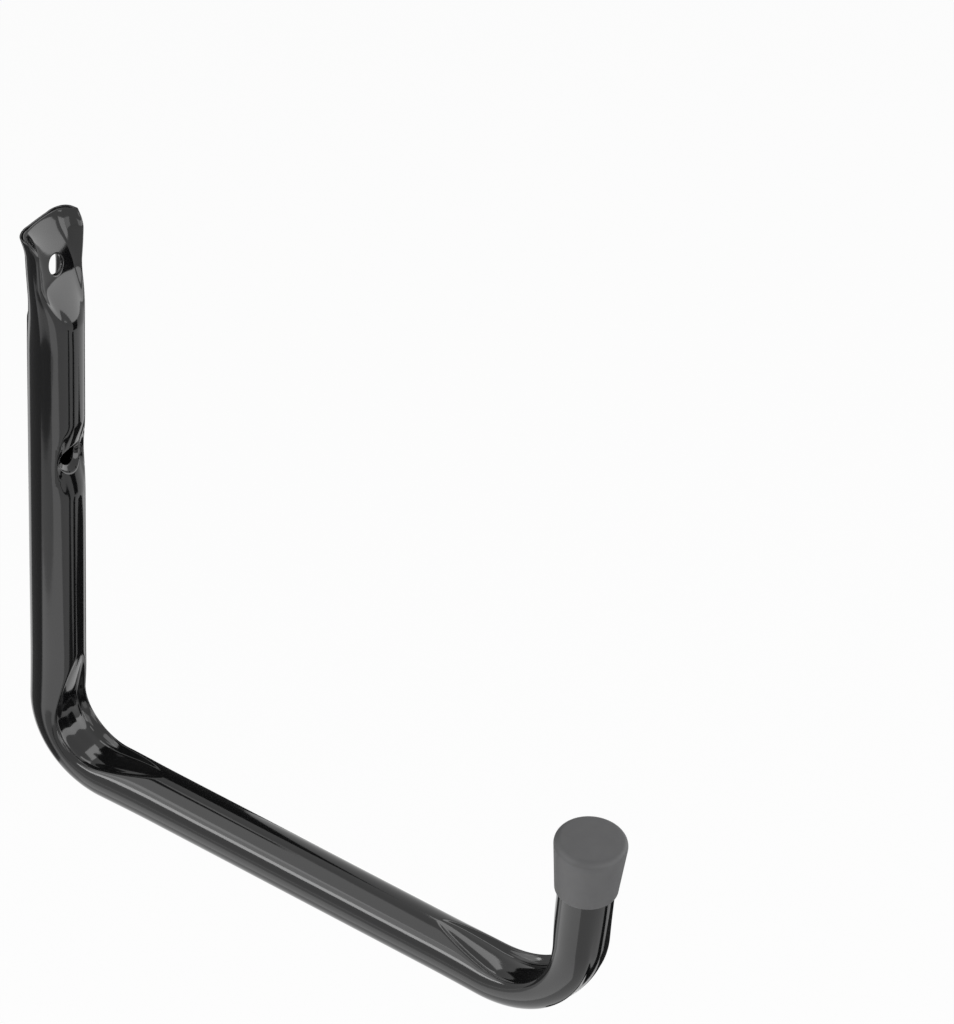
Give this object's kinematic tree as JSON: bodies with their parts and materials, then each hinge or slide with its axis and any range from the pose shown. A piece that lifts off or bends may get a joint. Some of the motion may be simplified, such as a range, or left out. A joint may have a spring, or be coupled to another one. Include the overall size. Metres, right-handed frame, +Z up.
{
  "type": "wall hook",
  "caption": "Bent steel tube wall hook with a pressed screw end, a countersunk screw seat and a soft tip cap.",
  "frame": {"origin": "on the wall plane, on the hook's middle plane, midway between the two screw holes", "axes": "+X across the hook, +Y into the wall so the hook reaches out along -Y, +Z up"},
  "size_m": [0.0276, 0.2544, 0.2437],
  "materials": {
    "gloss_paint": "gloss",
    "soft_cap": "matte"
  },
  "bodies": {
    "root": {"bent_tube": "gloss_paint", "end_cap": "soft_cap"}
  },
  "joints": []
}
